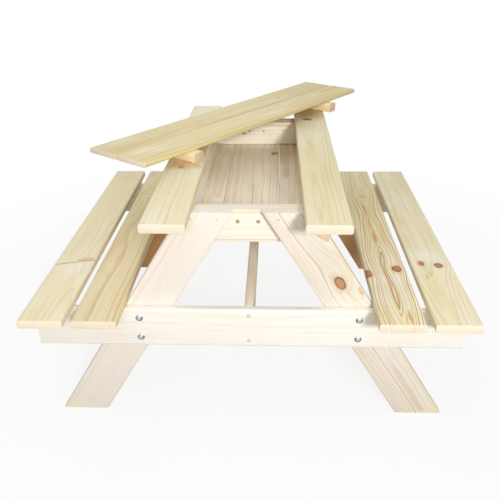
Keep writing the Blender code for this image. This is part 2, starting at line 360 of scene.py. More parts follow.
class Look(NamedTuple):
    """How one board was cut from its tree, and what shows on it.

    heart is where the tree's heart runs, across and above the board's middle. spacing is a year
    ring's width, taper how it narrows, line how strong the late wood is and wander how far the
    heart strays. The rest lies along and across the board with a half length and a half width:
    knots with how dark they are, swells with the year rings that they add, and with how strong
    they are each flame of resin, the broad ones on the tabletop being painted shade of the lid
    and its battens, each pale patch, each olive zone, which is sap tone and on the seats' far
    halves painted shade, and each crease, a crease also with its slope. heartwood is painted
    shade on one face: how strong its dark resin colour is, and on which face: 1 above, -1 below.
    late and end are screen colours in place of the usual late wood and end grain."""

    seed: int
    heart: tuple
    spacing: float
    taper: float
    line: float
    wander: float = 0.005
    knots: tuple = ()
    swells: tuple = ()
    resin_and_shade_flames: tuple = ()
    patches: tuple = ()
    sap_and_shade_zones: tuple = ()
    creases: tuple = ()
    sap: float = 0.45
    warm: float = 0.0
    bright: float = 1.0
    late: tuple = None
    end: tuple = None
    painted_shade_face: tuple = None


class Knots(NamedTuple):
    """How the grain flows round a board's knots, and where their parts show."""

    flow: object
    heart: object = 0.0
    rim: object = 0.0
    halo: object = 0.0
    pale: object = 0.0
    whorls: object = 0.0


class BoardNodes(Nodes):
    """The nodes of one board's pine, with each point's place in the board."""

    def read_place(self, look):
        self.seed = look.seed * SEED_STEP
        self.place = self.add("ShaderNodeAttribute", output="Vector", attribute_name="grain")
        self.along, self.across, self.above = self.parts(self.place)

    def pattern(self, waves, shift, detail=2.0, rough=0.5):
        """Noise over the board; shift moves it across and above."""
        return self.noise(self.place, waves, (self.seed, *shift), detail, rough)

    def apart(self, u, v, half_length, half_width):
        """The square of the distance from a spot's middle, in the spot's half sizes."""
        return ((self.along - u) / half_length) ** 2.0 + ((self.across - v) / half_width) ** 2.0

    def reach(self, *spot):
        return self.math("SQRT", self.apart(*spot))

    def hump(self, *spot):
        """One in the middle of a spot, fading to nothing past its half sizes."""
        return self.math("EXPONENT", -self.apart(*spot))


def knots_in(n, look):
    """The board's knots, each with a slightly uneven outline."""
    knots = Knots(n.across)
    for u, v, half_length, half_width, dark in look.knots:
        uneven = n.pattern(KNOT_OUTLINE, (u * 40, v * 90)) * 0.5
        around = n.hump(u, v, half_length * 3.4, half_width * 2.6)
        reach = n.reach(u, v, half_length, half_width) + uneven
        heart = n.smooth(reach, 1.10, 0.86) * dark
        side = n.noise(n.place, KNOT_SIDE, (n.seed + 3.0, u * 9, v * 70), 0.0) * 3.0 + 0.75
        side = n.math("MINIMUM", n.larger(side, 0.35), 1.0)
        rim = n.smooth(n.math("ABSOLUTE", reach - 0.90), 0.24, 0.04) * dark
        pale = n.hump(u, v, half_length * 3.2, half_width * 3.6) * dark
        knots = Knots(
            flow=knots.flow - (n.across - v) * around * 0.85,
            heart=n.larger(knots.heart, heart),
            rim=n.larger(knots.rim, rim * side),
            halo=n.larger(knots.halo, n.smooth(reach, 2.3, 0.95) * dark),
            pale=n.larger(knots.pale, pale),
            whorls=n.larger(knots.whorls, n.math("PINGPONG", reach * 2.6 + uneven, 0.5) * heart))
    return knots


def year_rings(n, look, flow):
    """Where a point lies in its year, from 0 to 1, and how dark its late wood is.

    The rings lie about the tree's heart, which wanders and narrows along the board."""
    sway = n.pattern(SWAY, (3.1, 0.7), 1.0) * look.wander * 4.0
    lean = n.pattern(LEAN, (9.4, 5.2), 1.0) * look.wander * 6.0
    ripple = n.pattern(RIPPLE, (1.0, 2.0)) * look.spacing * 1.1
    side = flow - look.heart[0] + sway
    rise = n.above - look.heart[1] + lean
    distance = n.math("SQRT", side * side + rise * rise) - n.along * look.taper + ripple
    for *spot, rings in look.swells:
        distance = distance + n.hump(*spot) * (rings * look.spacing)
    uneven = n.add("ShaderNodeTexNoise", {
        "W": distance * YEARS_UNEVEN + n.seed, "Scale": 1.0, "Detail": 1.0}, noise_dimensions="1D")
    ring = distance / look.spacing + uneven * 2.2
    year = n.math("FLOOR", ring)
    season = ring - year
    strength = n.add("ShaderNodeTexWhiteNoise", {
        "W": year + n.seed}, "Value", noise_dimensions="1D")
    late_share = n.smooth(season, 0.42, 0.90) * n.smooth(season, 1.0, 0.94)
    return season, late_share * (strength * 0.8 + 0.2) * look.line


def pine_material(name, look, early, late, length):
    """Pine whose year rings run through the board, so its faces and its ends agree."""
    pine = bpy.context.scene.picnic_pine
    late = tint(*look.late) if look.late else late
    material = bpy.data.materials.new(name)
    n = bare_nodes(material, BoardNodes)
    n.read_place(look)
    knots = knots_in(n, look)
    season, line = year_rings(n, look, knots.flow)
    fibre = n.pattern(FIBRE, (0.0, 0.0), 3.0, 0.6)
    streak = n.pattern(STREAK, (5.0, 8.0), 3.0, 0.55)
    cloud = n.pattern(CLOUD, (7.0, 1.0))
    drift = n.pattern(DRIFT, (2.0, 6.0))
    pore = n.smooth(n.pattern(PORE, (4.0, 4.0), 1.0), 0.2, 0.3)
    end = n.smooth(n.math("ABSOLUTE", n.along - length / 2),
                   length / 2 - END_START, length / 2 - END_FULL)

    # Broad changes of tone, some of them painted shade
    base = n.mix(n.smooth(cloud + streak * 0.5, -0.10, 0.34) * look.sap, early, pine.sap)
    base = n.mix(n.smooth(drift, 0.02, 0.36) * 0.55, base, pine.pale)
    if look.warm:
        base = n.mix(look.warm, base, pine.halo)
    # Painted shade: one face of the board is darkened towards the resin colour, standing for the
    # shade that falls on it
    if look.painted_shade_face:
        strong, facing = look.painted_shade_face
        brown = n.smooth(n.above * facing + drift * 0.004, -0.002, 0.006) * strong
        base = n.mix(brown, base, pine.halo)
    # Pale patches, then each olive zone: sap tone, which on the seats' far halves is painted shade
    # of the tabletop and the lid
    for spots, colour in ((look.patches, pine.pale), (look.sap_and_shade_zones, pine.sap)):
        for *spot, strong in spots:
            base = n.mix(n.hump(*spot) * strong, base, colour)
    if look.knots:
        base = n.mix(knots.pale * 0.6, base, pine.pale)
    # Late wood, streaks and pores, then what grew across them, and flame marks of painted shade
    base = n.mix(n.larger(0.0, streak * 0.8) + line, base, late)
    base = n.mix(pore * 0.16, base, pine.knot)
    # Each flame of resin; on the tabletop the broad ones are painted shade of the lid and its
    # battens
    for u, v, half_length, half_width, strong in look.resin_and_shade_flames:
        frayed = n.pattern(FRAY, (u * 30, v * 80), 3.0) * 1.3 + season * 0.5 - 0.2
        reach = n.reach(u, v, half_length, half_width)
        base = n.mix(n.smooth(reach + frayed, 1.20, 0.30) * strong, base, pine.halo)
    for u, v, half_length, half_width, strong, slope in look.creases:
        bend = (n.along - u - (n.across - v) * slope + drift * 0.012) / half_length
        ends = n.smooth(n.math("ABSOLUTE", n.across - v), half_width, half_width * 0.7)
        base = n.mix(n.math("EXPONENT", -(bend * bend)) * ends * strong, base, pine.knot)
    if look.knots:
        base = n.mix(knots.halo * 0.35, base, pine.halo)
        base = n.mix(knots.heart * 0.98, base, pine.knot)
        base = n.mix(n.larger(knots.rim, knots.whorls * 0.30), base, pine.bark)
    base = n.mix(end * END_SHARE, base, tint(*look.end) if look.end else pine.end_grain)
    base = n.shaded(base, (fibre * 0.16 + streak * 0.10 + 1.0) * look.bright)

    rough = fibre * 0.16 - line * 0.10 + pine.roughness
    if look.knots:
        rough = rough - knots.heart * 0.12
    n.surface(base, rough, line * 0.8 + fibre * 0.7 + streak * 0.4, pine.relief, 0.7)
    return material


def write_grain(mesh, origin, along, across, start=0.0):
    """Keeps each corner's place along, across and above the board's middle, in metres."""
    local = corners_of(mesh) - np.array(origin)
    above = along.cross(across)
    rows = [local @ np.array(along) + start, local @ np.array(across), local @ np.array(above)]
    write_attribute(mesh, "grain", np.stack(rows, axis=1))


def board_size(node, turn=0.0):
    """A solid's sizes along its own axes, and its middle."""
    spin = Matrix.Rotation(-turn, 3, "Z")
    corners = np.array([spin @ v.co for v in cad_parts[node].data.vertices])
    low, high = Vector(corners.min(0)), Vector(corners.max(0))
    return tuple(high - low), Matrix.Rotation(turn, 3, "Z") @ ((low + high) / 2)


def ease_board(bm, raking, radius, ends):
    """Rounds a board's raking edges, then breaks the edges round its sawn ends."""
    pine = bpy.context.scene.picnic_pine
    bmesh.ops.bevel(bm, geom=raking, offset=radius, segments=pine.edge_steps, profile=0.5,
                    affect="EDGES")
    edges = {edge for face in bm.faces if ends(face) for edge in face.edges}
    bmesh.ops.bevel(bm, geom=list(edges), offset=pine.end_ease, segments=2, profile=0.5,
                    affect="EDGES")


def planed_board(node, look, early, late, body="table", turn=0.0):
    """A board in its solid's place, with rounded long edges and eased ends."""
    pine = bpy.context.scene.picnic_pine
    sizes, middle = board_size(node, turn)
    axis = 0 if sizes[0] > sizes[1] else 1
    length = sizes[axis]
    bm = bmesh.new()
    bmesh.ops.create_cube(bm, size=1.0, matrix=Matrix.Diagonal((*sizes, 1.0)))
    raking = [e for e in bm.edges
              if abs((e.verts[0].co - e.verts[1].co)[axis]) > length / 2]
    ease_board(bm, raking, pine.edge_round if min(sizes) > THIN_BOARD else pine.slat_round,
               lambda face: abs(face.normal[axis]) > END_FACING)
    bm.transform(Matrix.Translation(middle) @ Matrix.Rotation(turn, 4, "Z"))
    mesh = mesh_of(bm, node)
    along, across = (X_WAY, -Y_WAY) if axis == 0 else (Y_WAY, X_WAY)
    if sizes[2] > sizes[1 - axis]:
        across = Z_WAY
    rotation = Matrix.Rotation(turn, 3, "Z")
    write_grain(mesh, middle, rotation @ along, rotation @ across, length / 2)
    mesh.materials.append(pine_material(node + "_pine", look, early, late, length))
    keep_piece(node, mesh, BOARD_CREASE, body, [node])


def leg_board(node, look):
    """A splayed leg, cut level at its foot and at its top."""
    pine = bpy.context.scene.picnic_pine
    corners = np.array([v.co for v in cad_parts[node].data.vertices])
    low, high = corners.min(0), corners.max(0)
    foot = corners[corners[:, 2] < low[2] + LEVEL][:, 0]
    head = corners[corners[:, 2] > high[2] - LEVEL][:, 0]
    outline = [(foot.min(), low[2]), (foot.max(), low[2]),
               (head.max(), high[2]), (head.min(), high[2])]
    bm = bmesh.new()
    face = bm.faces.new([bm.verts.new((x, low[1], z)) for x, z in outline])
    grown = bmesh.ops.extrude_face_region(bm, geom=[face])["geom"]
    bmesh.ops.translate(bm, verts=[v for v in grown if isinstance(v, bmesh.types.BMVert)],
                        vec=(0.0, high[1] - low[1], 0.0))
    bmesh.ops.recalc_face_normals(bm, faces=bm.faces)
    raking = [e for e in bm.edges
              if abs(e.verts[0].co.z - e.verts[1].co.z) > (high[2] - low[2]) / 2]
    ease_board(bm, raking, pine.leg_round, lambda face: abs(face.normal.z) > END_FACING)
    mesh = mesh_of(bm, node)
    foot_middle = Vector(((foot.min() + foot.max()) / 2, (low[1] + high[1]) / 2, low[2]))
    head_middle = Vector(((head.min() + head.max()) / 2, foot_middle.y, high[2]))
    along = (head_middle - foot_middle).normalized()
    across = along.cross(Y_WAY)
    if across.x * foot_middle.x < 0:
        across = -across
    write_grain(mesh, foot_middle, along, across)
    # Only the top of a leg shows end grain, so its length is given twice over
    length = (head_middle - foot_middle).length * 2
    mesh.materials.append(
        pine_material(node + "_pine", look, pine.frame_wood, pine.late_pale, length))
    keep_piece(node, mesh, BOARD_CREASE, "table", [node])


# The olive zone on each seat's far half is painted shade of the tabletop and the lid
PLANKS = {
    "seat_plank_left_outer": Look(
        1, (0.034, -0.064), 0.0062, 0.006, 0.24, bright=0.98,
        knots=[(0.252, 0.024, 0.005, 0.019, 0.3)],
        creases=[(0.241, 0.0, 0.0022, 0.045, 0.9, 0.36),
                 (0.264, 0.026, 0.0014, 0.016, 0.65, 0.0)],
        patches=[(0.215, 0.01, 0.03, 0.04, 0.5)],
        sap_and_shade_zones=[(0.7, 0.0, 0.26, 0.08, 0.6)]),
    "seat_plank_left_inner": Look(
        2, (-0.03, -0.05), 0.006, 0.006, 0.58, warm=0.16, bright=0.97,
        knots=[(0.626, -0.008, 0.0045, 0.0026, 0.9)],
        swells=[(0.27, -0.006, 0.07, 0.014, -1.1)],
        resin_and_shade_flames=[(0.27, -0.006, 0.07, 0.008, 0.4)],
        sap_and_shade_zones=[(0.62, 0.0, 0.32, 0.09, 0.95)]),
    "seat_plank_right_inner": Look(
        3, (0.003, -0.006), 0.0082, 0.0, 1.0, 0.003, sap=0.8, late=(186, 134, 62),
        knots=[(0.22, 0.025, 0.0135, 0.01, 1.0), (0.198, -0.04, 0.015, 0.008, 1.0)],
        swells=[(0.262, -0.001, 0.098, 0.042, -2.9), (0.098, 0.004, 0.1, 0.042, -2.6),
                (0.665, 0.001, 0.045, 0.04, -2.2), (0.52, -0.002, 0.05, 0.04, 0.8)],
        resin_and_shade_flames=[(0.375, -0.001, 0.044, 0.0075, 1.0), (0.455, -0.002, 0.045, 0.003, 0.9),
                (0.56, -0.003, 0.05, 0.004, 0.9), (0.64, 0.002, 0.014, 0.012, 0.5),
                (0.095, 0.006, 0.022, 0.004, 0.4), (0.02, 0.018, 0.034, 0.004, 0.95)],
        patches=[(0.172, 0.002, 0.02, 0.032, 0.9)],
        sap_and_shade_zones=[(0.68, 0.0, 0.25, 0.09, 0.5)]),
    "seat_plank_right_outer": Look(
        4, (-0.012, -0.048), 0.0066, 0.014, 0.32,
        knots=[(0.246, -0.022, 0.01, 0.0068, 1.0), (0.237, 0.014, 0.0095, 0.009, 1.0)],
        resin_and_shade_flames=[(0.186, -0.022, 0.014, 0.004, 0.5)],
        patches=[(0.285, 0.0, 0.03, 0.04, 0.7)]),
    # The broad flame marks on both tabletop planks are painted shade of the lid and its battens
    "tabletop_plank_left": Look(
        5, (0.034, -0.06), 0.0056, 0.006, 0.26, bright=0.96,
        knots=[(0.303, -0.006, 0.009, 0.006, 0.6)],
        resin_and_shade_flames=[(0.315, 0.0, 0.03, 0.05, 0.5), (0.36, 0.004, 0.07, 0.04, 0.35)],
        sap_and_shade_zones=[(0.17, 0.0, 0.1, 0.06, 0.3)]),
    "tabletop_plank_right": Look(
        6, (-0.014, -0.044), 0.0062, 0.01, 0.26, bright=0.97,
        knots=[(0.697, -0.008, 0.0105, 0.0115, 1.0)],
        resin_and_shade_flames=[(0.745, 0.004, 0.05, 0.05, 0.45)],
        sap_and_shade_zones=[(0.3, -0.012, 0.26, 0.035, 0.55)]),
}

CROSSBARS = {
    "crossbar_near": Look(11, (0.07, -0.08), 0.0052, 0.004, 0.15, sap=0.08),
    # The far crossbar's warmth is partly painted shade: the warm dark of the shade under the seats
    "crossbar_far": Look(12, (-0.03, 0.05), 0.005, 0.01, 0.4, sap=0.3, warm=0.12),
}

STRETCHER = Look(13, (0.02, 0.03), 0.005, 0.012, 0.45, sap=0.5, warm=0.14)

LEGS = {
    "leg_near_left": Look(
        14, (0.07, -0.055), 0.0058, 0.006, 0.22, sap=0.1, warm=0.11, bright=0.95,
        end=(250, 238, 204)),
    "leg_near_right": Look(
        15, (0.034, -0.03), 0.005, 0.016, 0.8, sap=0.4, warm=0.07, bright=0.91,
        knots=[(0.38, 0.011, 0.016, 0.0098, 0.78)],
        swells=[(0.415, 0.014, 0.06, 0.03, 2.6), (0.352, 0.008, 0.026, 0.026, -1.6)],
        resin_and_shade_flames=[(0.05, 0.01, 0.11, 0.009, 0.34), (0.392, 0.004, 0.022, 0.006, 0.35)],
        late=(228, 186, 112), end=(250, 238, 204)),
    # On the far legs, the darkened face and the warmth are painted shade: the shade under the
    # tabletop
    "leg_far_left": Look(
        16, (-0.012, 0.038), 0.0056, 0.014, 0.45, sap=0.4, warm=0.13,
        knots=[(0.21, 0.014, 0.011, 0.008, 0.8)], painted_shade_face=(0.95, 1.0)),
    "leg_far_right": Look(
        17, (0.022, -0.05), 0.0054, 0.01, 0.45, sap=0.4, warm=0.13, painted_shade_face=(0.88, -1.0)),
}

BOX = {
    "box_end_near": Look(21, (0.05, -0.06), 0.005, 0.008, 0.16, sap=0.06),
    "box_end_far": Look(22, (-0.012, 0.045), 0.0056, 0.012, 0.34, sap=0.2,
                        knots=[(0.09, 0.004, 0.006, 0.0025, 0.7)]),
    "box_rail_near": Look(23, (0.03, -0.04), 0.005, 0.01, 0.25, sap=0.6, warm=0.1,
                          bright=0.98),
    "box_rail_far": Look(24, (0.03, -0.05), 0.005, 0.01, 0.3, warm=0.2),
    "box_side_left": Look(25, (0.012, 0.045), 0.0056, 0.01, 0.32),
    "box_side_right": Look(26, (0.02, -0.045), 0.0056, 0.01, 0.32),
}

SLATS = {
    "box_floor_slat_1": Look(27, (0.014, -0.044), 0.0052, 0.01, 0.36, sap=0.5, warm=0.13),
    "box_floor_slat_2": Look(38, (0.02, -0.05), 0.005, 0.008, 0.34, sap=0.5, warm=0.15),
    "box_floor_slat_3": Look(39, (-0.026, -0.046), 0.0054, 0.01, 0.36, sap=0.5, warm=0.12,
                             knots=[(0.54, 0.02, 0.011, 0.008, 0.9)]),
    "box_floor_slat_4": Look(30, (-0.02, -0.05), 0.005, 0.012, 0.34, sap=0.5, warm=0.14),
}

LID = {
    "lid_plank_rear": Look(
        31, (0.02, -0.056), 0.0058, 0.01, 0.5, sap=0.7, bright=0.93,
        knots=[(0.626, 0.011, 0.009, 0.007, 0.25), (0.531, 0.014, 0.008, 0.005, 0.22)],
        sap_and_shade_zones=[(0.45, 0.0, 0.3, 0.06, 0.6)]),
    "lid_plank_front": Look(32, (-0.016, -0.05), 0.006, 0.01, 0.5, sap=0.7,
                            knots=[(0.496, -0.011, 0.008, 0.006, 0.22)]),
    "lid_batten_near": Look(33, (0.02, -0.04), 0.0056, 0.01, 0.35, sap=0.1,
                            end=(206, 180, 146)),
    "lid_batten_far": Look(34, (0.022, -0.035), 0.0056, 0.01, 0.35, sap=0.1,
                           end=(206, 180, 146)),
}


class PICNIC_OT_planks(bpy.types.Operator):
    """Make the four seat planks and the two outer planks of the tabletop"""

    bl_idname = "picnic.planks"
    bl_label = "Seat and tabletop planks"

    def execute(self, context):
        pine = context.scene.picnic_pine
        for node, look in PLANKS.items():
            planed_board(node, look, pine.plank, pine.late)
        return {"FINISHED"}


class PICNIC_OT_frames(bpy.types.Operator):
    """Make both end frames, with their splayed legs and crossbars, and the stretcher"""

    bl_idname = "picnic.frames"
    bl_label = "End frames and stretcher"

    def execute(self, context):
        pine = context.scene.picnic_pine
        for node, look in CROSSBARS.items():
            planed_board(node, look, pine.frame_wood, pine.late_pale)
        planed_board("stretcher", STRETCHER, pine.box_wood, pine.late_pale)
        for node, look in LEGS.items():
            leg_board(node, look)
        return {"FINISHED"}


class PICNIC_OT_box(bpy.types.Operator):
    """Make the storage box's ends, sides and rails"""

    bl_idname = "picnic.box"
    bl_label = "Storage box"

    def execute(self, context):
        pine = context.scene.picnic_pine
        for node, look in BOX.items():
            planed_board(node, look, pine.box_wood, pine.late)
        return {"FINISHED"}


class PICNIC_OT_floor(bpy.types.Operator):
    """Make the slats of the storage box's floor"""

    bl_idname = "picnic.floor"
    bl_label = "Box floor"

    def execute(self, context):
        pine = context.scene.picnic_pine
        tree, keys = slat_tree()
        for node, look in SLATS.items():
            (width, length, thickness), middle = board_size(node)
            material = pine_material(node + "_pine", look, pine.box_wood, pine.late, length)
            piece = spread(node, tree, keys, [(middle, Z_WAY, 0.0)], {
                "Length": length, "Width": width, "Thickness": thickness,
                "Edge Radius": pine.slat_round, "End Ease": pine.end_ease,
                "Material": material}, "table", [node])
            write_grain(piece.data, middle, Y_WAY, X_WAY, length / 2)
        return {"FINISHED"}


class PICNIC_OT_lid(bpy.types.Operator):
    """Make the lid that lies askew on the tabletop: two boards on two battens"""

    bl_idname = "picnic.lid"
    bl_label = "Lid"

    def execute(self, context):
        pine = context.scene.picnic_pine
        for node, look in LID.items():
            early = pine.batten_wood if "batten" in node else pine.lid_wood
            planed_board(node, look, early, pine.late, "lid", pine.lid_turn)
        return {"FINISHED"}


# Fasteners

# Faces round each shape
HEAD_SIDES, BOLT_SIDES, SCREW_SIDES, SHANK_SIDES = 28, 16, 24, 12
# Steps up a dome, and how near its top the last one comes
DOME_STEPS, DOME_END = 12, 0.985
FASTENER_CREASE = math.radians(35)
HEAD_ROUGH, PLATE_ROUGH, SCREW_ROUGH = 0.30, 0.32, 0.42
ZINC_RELIEF = 0.00005
# Starts the draws that turn every screw's cross its own way
SCREW_SEED = 23
# How deep the thread is cut, how much thinner the tip is and how long that tip is
THREAD_DEPTH, TIP_SHARE, TIP_LENGTH = 0.16, 0.80, 0.0012
# In head radii: how deep a screw's head goes, its shank, and the cross recess's two sides
HEAD_DEPTH, SHANK_SHARE, CROSS_LONG, CROSS_THIN = 0.55, 0.45, 1.20, 0.26
# Screws that no solid stands for: through a leg and through the box's end, out from the table's
# middle and down from the leg's top, and along a batten from its middle
LEG_SCREWS_OUT, LEG_SCREWS_DOWN = (0.059, 0.110), 0.0135
BOX_SCREW_OUT, BOX_SCREW_DOWN = 0.076, 0.024
BATTEN_SCREWS_ALONG = (-0.075, -0.020, 0.020, 0.075)
LEG_SCREW_SHARE = 0.66


def zinc_material(name, colour, roughness, painted_rim_reflection=None):
    """Zinc plating, blotched and scratched; with dull, a painted reflection darkens head rims."""
    material = bpy.data.materials.new(name)
    n = bare_nodes(material)
    place = n.add("ShaderNodeTexCoord", output="Object")
    blotch = n.noise(place, (420.0, 420.0, 420.0), (0.0, 0.0, 0.0), 3.0)
    scratch = n.noise(place, (2400.0, 300.0, 1500.0), (3.0, 1.0, 2.0))
    base = n.shaded(colour, blotch * 0.30 + scratch * 0.12 + 1.0)
    if painted_rim_reflection:
        # Painted reflection: a dark ring round the domed head's rim, but for its top
        head = n.add("ShaderNodeAttribute", output="Vector", attribute_name="head")
        side, up, _ = n.parts(head)
        reach = n.math("SQRT", side * side + up * up) + blotch * 0.25
        ring = n.smooth(reach, 0.46, 0.72) * n.smooth(up + blotch * 0.6, 0.62, 0.15)
        base = n.mix(ring * 0.85, base, painted_rim_reflection)
    n.surface(base, blotch * 0.2 + roughness, blotch + scratch, ZINC_RELIEF, 0.3, 1.0)
    return material


def geometry_tree(name, *numbers):
    """A Geometry Nodes tree with named inputs: the numbers and a material.

    Gives its nodes, the inputs' identifiers, the points and the material, then the numbers."""
    tree = bpy.data.node_groups.new(name, "GeometryNodeTree")
    for way in ("INPUT", "OUTPUT"):
        tree.interface.new_socket("Geometry", in_out=way, socket_type="NodeSocketGeometry")
    for label in numbers:
        tree.interface.new_socket(label, in_out="INPUT", socket_type="NodeSocketFloat")
    tree.interface.new_socket("Material", in_out="INPUT", socket_type="NodeSocketMaterial")
    n = Nodes(tree)
    first = n.add("NodeGroupInput")
    keys = {item.name: item.identifier for item in tree.interface.items_tree
            if item.in_out == "INPUT"}
    points, *given, material = (n.also(first, label) for label in keys)
    return n, keys, (points, material), given


def path(n, start, end, **spacing):
    """A straight path in even steps."""
    line = n.add("GeometryNodeCurvePrimitiveLine", {"Start": start, "End": end}, mode="POINTS")
    mode = "COUNT" if "Count" in spacing else "LENGTH"
    return n.add("GeometryNodeResampleCurve", {"Curve": line, **spacing}, mode=mode)


def sweep(n, line, radius, outline):
    """An outline swept along a path at the radius given, with closed ends."""
    line = n.add("GeometryNodeSetCurveRadius", {"Curve": line, "Radius": radius})
    return n.add("GeometryNodeCurveToMesh", {
        "Curve": line, "Profile Curve": outline, "Scale": n.add("GeometryNodeInputRadius"),
        "Fill Caps": True})


def circle(n, sides):
    return n.add("GeometryNodeCurvePrimitiveCircle", {
        "Resolution": sides, "Radius": 1.0}, mode="RADIUS")


def raised(n, shape, height):
    return n.add("GeometryNodeTransform", {"Geometry": shape, "Translation": n.vector(z=height)})


def finish_tree(n, ends, *shapes):
    """Puts the shapes on every point, turned to its facing and spin, realized and coated."""
    shape = shapes[0]
    if len(shapes) > 1:
        shape = n.add("GeometryNodeJoinGeometry")
        for part in shapes:
            n.tree.links.new(part.output, shape.output.node.inputs[0])
    facing = n.add("GeometryNodeInputNamedAttribute", {"Name": "facing"}, data_type="FLOAT_VECTOR")
    spin = n.add("GeometryNodeInputNamedAttribute", {"Name": "spin"}, data_type="FLOAT")
    turned = n.add("FunctionNodeAlignRotationToVector", {"Vector": facing}, axis="Z")
    own = n.add("FunctionNodeAxisAngleToRotation", {"Axis": (0.0, 0.0, 1.0), "Angle": spin})
    turned = n.add("FunctionNodeRotateRotation", {
        "Rotation": turned, "Rotate By": own}, rotation_space="LOCAL")
    points = n.add("GeometryNodeInstanceOnPoints", {
        "Points": ends[0], "Instance": shape, "Rotation": turned})
    real = n.add("GeometryNodeRealizeInstances", {"Geometry": points})
    coated = n.add("GeometryNodeSetMaterial", {"Geometry": real, "Material": ends[1]})
    out = n.tree.nodes.new("NodeGroupOutput")
    n.tree.links.new(coated.output, out.inputs[0])


def bolt_tree():
    """A carriage bolt: a domed head on a threaded shank."""
    n, keys, ends, (radius, height, rod, length, pitch) = geometry_tree(
        "Carriage bolt", "Head Radius", "Head Height", "Shank Radius", "Shank Length",
        "Thread Pitch")
    # The dome's points climb as a sine while their radius falls as a cosine
    dome = path(n, (0.0, 0.0, 0.0), (0.0, 0.0, 1.0), Count=DOME_STEPS)
    angle = n.add("GeometryNodeSplineParameter", output="Factor") * DOME_END * (math.pi / 2)
    climb = n.math("SINE", angle) * height
    dome = n.add("GeometryNodeSetPosition", {"Geometry": dome, "Position": n.vector(z=climb)})
    dome = sweep(n, dome, n.math("COSINE", angle) * radius, circle(n, HEAD_SIDES))
    # The shank's radius swings between the thread's crests and roots, and tapers at its tip
    shank = path(n, n.vector(z=-length), (0.0, 0.0, 0.0), Length=pitch / 2)
    crest = n.math("MODULO", n.add("GeometryNodeInputIndex"), 2.0)
    taper = n.smooth(n.add("GeometryNodeSplineParameter", output="Length"),
                     0.0, TIP_LENGTH, TIP_SHARE, 1.0)
    thread = crest * THREAD_DEPTH + (1.0 - THREAD_DEPTH)
    finish_tree(n, ends, sweep(n, shank, thread * rod * taper, circle(n, BOLT_SIDES)), dome)
    return n.tree, keys


def screw_tree():
    """A countersunk head with a cross recess, on a thin shank."""
    n, keys, ends, (radius, rod, length, proud) = geometry_tree(
        "Countersunk screw", "Head Radius", "Shank Radius", "Shank Length", "Proud")
    deep = radius * HEAD_DEPTH
    head = n.add("GeometryNodeMeshCone", {
        "Vertices": SCREW_SIDES, "Radius Top": radius, "Radius Bottom": rod, "Depth": deep})
    head = raised(n, head, proud - deep)
    long, thin = radius * CROSS_LONG, radius * CROSS_THIN
    cut = n.add("GeometryNodeMeshBoolean", {"Mesh 1": head}, "Mesh", operation="DIFFERENCE")
    for wide, tall in ((long, thin), (thin, long)):
        bar = n.add("GeometryNodeMeshCube", {"Size": n.vector(wide, tall, deep)})
        bar = raised(n, bar, proud)
        n.tree.links.new(bar.output, n.pick(cut.output.node.inputs, "Mesh 2"))
    # Just thinner than the head's lower end, so that no faces coincide
    shank = n.add("GeometryNodeMeshCylinder", {
        "Vertices": SHANK_SIDES, "Radius": rod * 0.98, "Depth": length})
    shank = raised(n, shank, (length + deep) * -0.5 - deep * 0.5)
    finish_tree(n, ends, cut, shank)
    return n.tree, keys


def slat_tree():
    """A thin board along Y: a rectangle with rounded corners swept from end to end."""
    n, keys, ends, (length, width, thickness, radius, ease) = geometry_tree(
        "Slat", "Length", "Width", "Thickness", "Edge Radius", "End Ease")
    outline = n.add("GeometryNodeCurvePrimitiveQuadrilateral", {
        "Width": width, "Height": thickness})
    outline = n.add("GeometryNodeFilletCurve", {
        "Curve": outline, "Count": 4, "Radius": radius}, mode="POLY")
    # Four stations along the board: the two ends, and one just inside each
    line = path(n, (0.0, 0.0, 0.0), (0.0, 1.0, 0.0), Count=4)
    station = n.add("GeometryNodeInputIndex")
    half = n.math("FLOOR", station / 2.0)
    odd = n.math("MODULO", station, 2.0)
    place = odd * ease + half * (length - ease) - length * 0.5
    line = n.add("GeometryNodeSetPosition", {"Geometry": line, "Position": n.vector(y=place)})
    drawn_in = (1.0 - n.math("ABSOLUTE", odd - half)) * ease * 2.0 / width
    finish_tree(n, ends, sweep(n, line, 1.0 - drawn_in, outline))
    return n.tree, keys


def spread(name, tree, keys, spots, values, body, nodes):
    """Runs a tree on a cloud of spots, each a place, a facing and a spin; keeps a plain mesh."""
    places, facings, spins = zip(*spots)
    cloud = bpy.data.meshes.new(name + "_spots")
    cloud.from_pydata(places, [], [])
    write_attribute(cloud, "facing", np.array(facings))
    spin = cloud.attributes.new("spin", "FLOAT", "POINT")
    spin.data.foreach_set("value", np.array(spins, np.float32))
    maker = add_object(name + "_maker", cloud)
    modifier = maker.modifiers.new("shape", "NODES")
    modifier.node_group = tree
    for label, value in values.items():
        modifier[keys[label]] = value
    graph = bpy.context.evaluated_depsgraph_get()
    mesh = bpy.data.meshes.new_from_object(maker.evaluated_get(graph), depsgraph=graph)
    mesh.name = name
    maker.modifiers.remove(modifier)
    bpy.data.objects.remove(maker)
    bpy.data.meshes.remove(cloud)
    if not len(mesh.polygons):
        raise RuntimeError(f"{name}: the tree made no faces")
    for attribute in ("facing", "spin"):
        if attribute in mesh.attributes:
            mesh.attributes.remove(mesh.attributes[attribute])
    bm = bmesh.new()
    bm.from_mesh(mesh)
    bmesh.ops.remove_doubles(bm, verts=bm.verts, dist=1e-6)
    bmesh.ops.recalc_face_normals(bm, faces=bm.faces)
    bm.to_mesh(mesh)
    bm.free()
    return keep_piece(name, mesh, FASTENER_CREASE, body, nodes)


def solids(start):
    """The names of the solids that begin alike."""
    return sorted(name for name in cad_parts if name.startswith(start))


def face_of(node, out):
    """Where a solid's near face lies along Y, with out below zero, or else its far face."""
    low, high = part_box(node)
    return low.y if out < 0 else high.y


